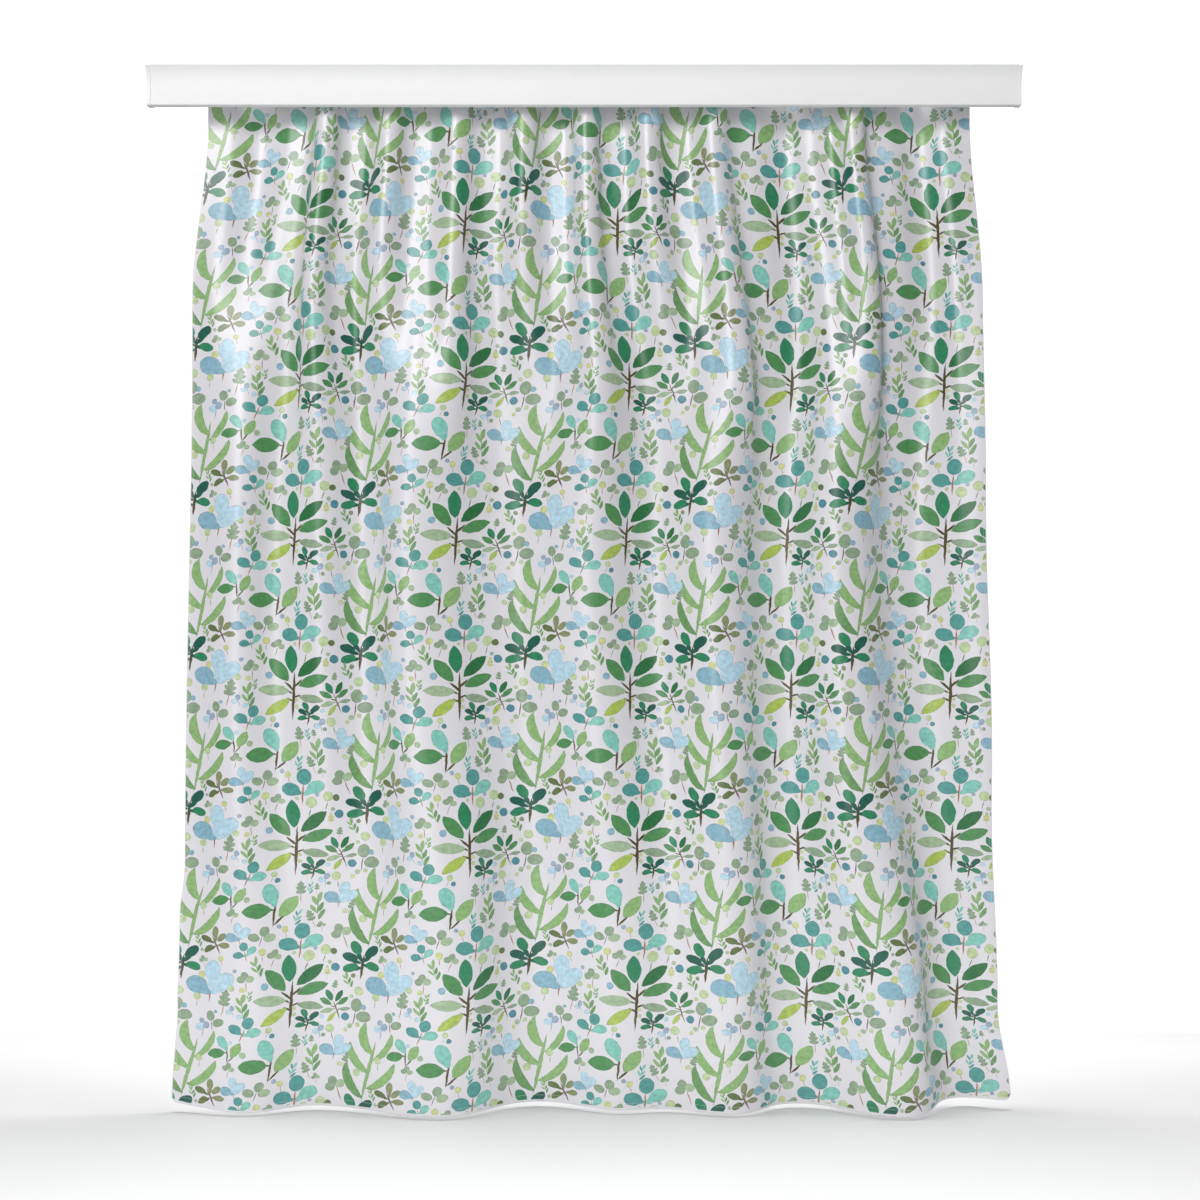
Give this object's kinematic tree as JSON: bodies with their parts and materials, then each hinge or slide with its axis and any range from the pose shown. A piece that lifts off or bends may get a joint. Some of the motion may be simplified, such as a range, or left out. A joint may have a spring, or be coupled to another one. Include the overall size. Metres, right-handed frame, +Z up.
{
  "type": "shower curtain",
  "caption": "Cloth shower curtain with a leafy print, hooked by eyelets to gliders in a ceiling track with a coved clip-on fascia and end caps.",
  "frame": {"origin": "middle of the track's ceiling face, above the line that the gliders run along", "axes": "+X along the track to the right as seen from the room, +Y away from the room, +Z up into the ceiling"},
  "size_m": [1.7017, 0.1304, 2.0496],
  "materials": {
    "white_pvc": "satin",
    "white_nylon": "matte",
    "cloth_print": "matte",
    "cloth_white": "matte",
    "nickel": "polished",
    "steel": "satin",
    "lead_grey": "matte"
  },
  "bodies": {
    "root": {"track": "white_pvc", "fascia": "white_pvc", "fascia_clip_1": "white_nylon", "fascia_clip_2": "white_nylon", "fascia_clip_3": "white_nylon", "fascia_clip_4": "white_nylon", "end_cap_left": "white_pvc", "end_cap_right": "white_pvc", "end_stop_left": "white_nylon", "end_stop_right": "white_nylon", "stop_screw_left": "steel", "stop_screw_right": "steel", "glider_01": "white_nylon"},
    "curtain": {"curtain_panel": "cloth_print", "header_tape": "cloth_white", "hem_weight": "lead_grey"},
    "runner_02": {"glider_02": "white_nylon"},
    "runner_03": {"glider_03": "white_nylon"},
    "runner_04": {"glider_04": "white_nylon"},
    "runner_05": {"glider_05": "white_nylon"},
    "runner_06": {"glider_06": "white_nylon"},
    "runner_07": {"glider_07": "white_nylon"},
    "runner_08": {"glider_08": "white_nylon"},
    "runner_09": {"glider_09": "white_nylon"},
    "runner_10": {"glider_10": "white_nylon"},
    "runner_11": {"glider_11": "white_nylon"},
    "runner_12": {"glider_12": "white_nylon"},
    "hanger_01": {"hook_01": "steel", "eyelet_01": "nickel"},
    "hanger_02": {"hook_02": "steel", "eyelet_02": "nickel"},
    "hanger_03": {"hook_03": "steel", "eyelet_03": "nickel"},
    "hanger_04": {"hook_04": "steel", "eyelet_04": "nickel"},
    "hanger_05": {"hook_05": "steel", "eyelet_05": "nickel"},
    "hanger_06": {"hook_06": "steel", "eyelet_06": "nickel"},
    "hanger_07": {"hook_07": "steel", "eyelet_07": "nickel"},
    "hanger_08": {"hook_08": "steel", "eyelet_08": "nickel"},
    "hanger_09": {"hook_09": "steel", "eyelet_09": "nickel"},
    "hanger_10": {"hook_10": "steel", "eyelet_10": "nickel"},
    "hanger_11": {"hook_11": "steel", "eyelet_11": "nickel"},
    "hanger_12": {"hook_12": "steel", "eyelet_12": "nickel"}
  },
  "joints": [
    {"name": "curtain_draw", "type": "slide", "parent": "root", "child": "runner_12", "axis": [-1, 0, 0], "range_m": [0, 1.16209], "deforming": ["curtain_panel", "header_tape", "hem_weight"]},
    {"name": "curtain_swing", "type": "hinge", "parent": "root", "child": "curtain", "pos_m": [0, 0, -0.0208], "axis": [1, 0, 0], "range_deg": [-6, 10]},
    {"name": "runner_02_slide", "type": "slide", "parent": "root", "child": "runner_02", "axis": [-1, 0, 0], "range_m": [0, 0.12034]},
    {"name": "runner_03_slide", "type": "slide", "parent": "root", "child": "runner_03", "axis": [-1, 0, 0], "range_m": [0, 0.21513]},
    {"name": "runner_04_slide", "type": "slide", "parent": "root", "child": "runner_04", "axis": [-1, 0, 0], "range_m": [0, 0.31804]},
    {"name": "runner_05_slide", "type": "slide", "parent": "root", "child": "runner_05", "axis": [-1, 0, 0], "range_m": [0, 0.42689]},
    {"name": "runner_06_slide", "type": "slide", "parent": "root", "child": "runner_06", "axis": [-1, 0, 0], "range_m": [0, 0.5298]},
    {"name": "runner_07_slide", "type": "slide", "parent": "root", "child": "runner_07", "axis": [-1, 0, 0], "range_m": [0, 0.62459]},
    {"name": "runner_08_slide", "type": "slide", "parent": "root", "child": "runner_08", "axis": [-1, 0, 0], "range_m": [0, 0.72383]},
    {"name": "runner_09_slide", "type": "slide", "parent": "root", "child": "runner_09", "axis": [-1, 0, 0], "range_m": [0, 0.8299]},
    {"name": "runner_10_slide", "type": "slide", "parent": "root", "child": "runner_10", "axis": [-1, 0, 0], "range_m": [0, 0.95014]},
    {"name": "runner_11_slide", "type": "slide", "parent": "root", "child": "runner_11", "axis": [-1, 0, 0], "range_m": [0, 1.04493]},
    {"name": "hanger_01_swing", "type": "hinge", "parent": "root", "child": "hanger_01", "pos_m": [-0.7173, 0, -0.0208], "axis": [1, 0, 0], "range_deg": [-6.01, 10.01]},
    {"name": "hanger_02_swing", "type": "hinge", "parent": "runner_02", "child": "hanger_02", "pos_m": [-0.56701, 0, -0.0208], "axis": [1, 0, 0], "range_deg": [-6.01, 10.01]},
    {"name": "hanger_03_swing", "type": "hinge", "parent": "runner_03", "child": "hanger_03", "pos_m": [-0.44852, 0, -0.0208], "axis": [1, 0, 0], "range_deg": [-6.01, 10.01]},
    {"name": "hanger_04_swing", "type": "hinge", "parent": "runner_04", "child": "hanger_04", "pos_m": [-0.31988, 0, -0.0208], "axis": [1, 0, 0], "range_deg": [-6.01, 10.01]},
    {"name": "hanger_05_swing", "type": "hinge", "parent": "runner_05", "child": "hanger_05", "pos_m": [-0.18381, 0, -0.0208], "axis": [1, 0, 0], "range_deg": [-6.01, 10.01]},
    {"name": "hanger_06_swing", "type": "hinge", "parent": "runner_06", "child": "hanger_06", "pos_m": [-0.05518, 0, -0.0208], "axis": [1, 0, 0], "range_deg": [-6.01, 10.01]},
    {"name": "hanger_07_swing", "type": "hinge", "parent": "runner_07", "child": "hanger_07", "pos_m": [0.06331, 0, -0.0208], "axis": [1, 0, 0], "range_deg": [-6.01, 10.01]},
    {"name": "hanger_08_swing", "type": "hinge", "parent": "runner_08", "child": "hanger_08", "pos_m": [0.18736, 0, -0.0208], "axis": [1, 0, 0], "range_deg": [-6.01, 10.01]},
    {"name": "hanger_09_swing", "type": "hinge", "parent": "runner_09", "child": "hanger_09", "pos_m": [0.31995, 0, -0.0208], "axis": [1, 0, 0], "range_deg": [-6.01, 10.01]},
    {"name": "hanger_10_swing", "type": "hinge", "parent": "runner_10", "child": "hanger_10", "pos_m": [0.47025, 0, -0.0208], "axis": [1, 0, 0], "range_deg": [-6.01, 10.01]},
    {"name": "hanger_11_swing", "type": "hinge", "parent": "runner_11", "child": "hanger_11", "pos_m": [0.58874, 0, -0.0208], "axis": [1, 0, 0], "range_deg": [-6.01, 10.01]},
    {"name": "hanger_12_swing", "type": "hinge", "parent": "runner_12", "child": "hanger_12", "pos_m": [0.7353, 0, -0.0208], "axis": [1, 0, 0], "range_deg": [-6.01, 10.01]}
  ],
  "couplings": [
    {"joint": "runner_02_slide", "follows": "curtain_draw", "ratio": 0.10347},
    {"joint": "runner_03_slide", "follows": "curtain_draw", "ratio": 0.18504},
    {"joint": "runner_04_slide", "follows": "curtain_draw", "ratio": 0.27359},
    {"joint": "runner_05_slide", "follows": "curtain_draw", "ratio": 0.36726},
    {"joint": "runner_06_slide", "follows": "curtain_draw", "ratio": 0.45582},
    {"joint": "runner_07_slide", "follows": "curtain_draw", "ratio": 0.53739},
    {"joint": "runner_08_slide", "follows": "curtain_draw", "ratio": 0.62279},
    {"joint": "runner_09_slide", "follows": "curtain_draw", "ratio": 0.71406},
    {"joint": "runner_10_slide", "follows": "curtain_draw", "ratio": 0.81753},
    {"joint": "runner_11_slide", "follows": "curtain_draw", "ratio": 0.8991},
    {"joint": "hanger_01_swing", "follows": "curtain_swing", "ratio": 1},
    {"joint": "hanger_02_swing", "follows": "curtain_swing", "ratio": 1},
    {"joint": "hanger_03_swing", "follows": "curtain_swing", "ratio": 1},
    {"joint": "hanger_04_swing", "follows": "curtain_swing", "ratio": 1},
    {"joint": "hanger_05_swing", "follows": "curtain_swing", "ratio": 1},
    {"joint": "hanger_06_swing", "follows": "curtain_swing", "ratio": 1},
    {"joint": "hanger_07_swing", "follows": "curtain_swing", "ratio": 1},
    {"joint": "hanger_08_swing", "follows": "curtain_swing", "ratio": 1},
    {"joint": "hanger_09_swing", "follows": "curtain_swing", "ratio": 1},
    {"joint": "hanger_10_swing", "follows": "curtain_swing", "ratio": 1},
    {"joint": "hanger_11_swing", "follows": "curtain_swing", "ratio": 1},
    {"joint": "hanger_12_swing", "follows": "curtain_swing", "ratio": 1}
  ]
}
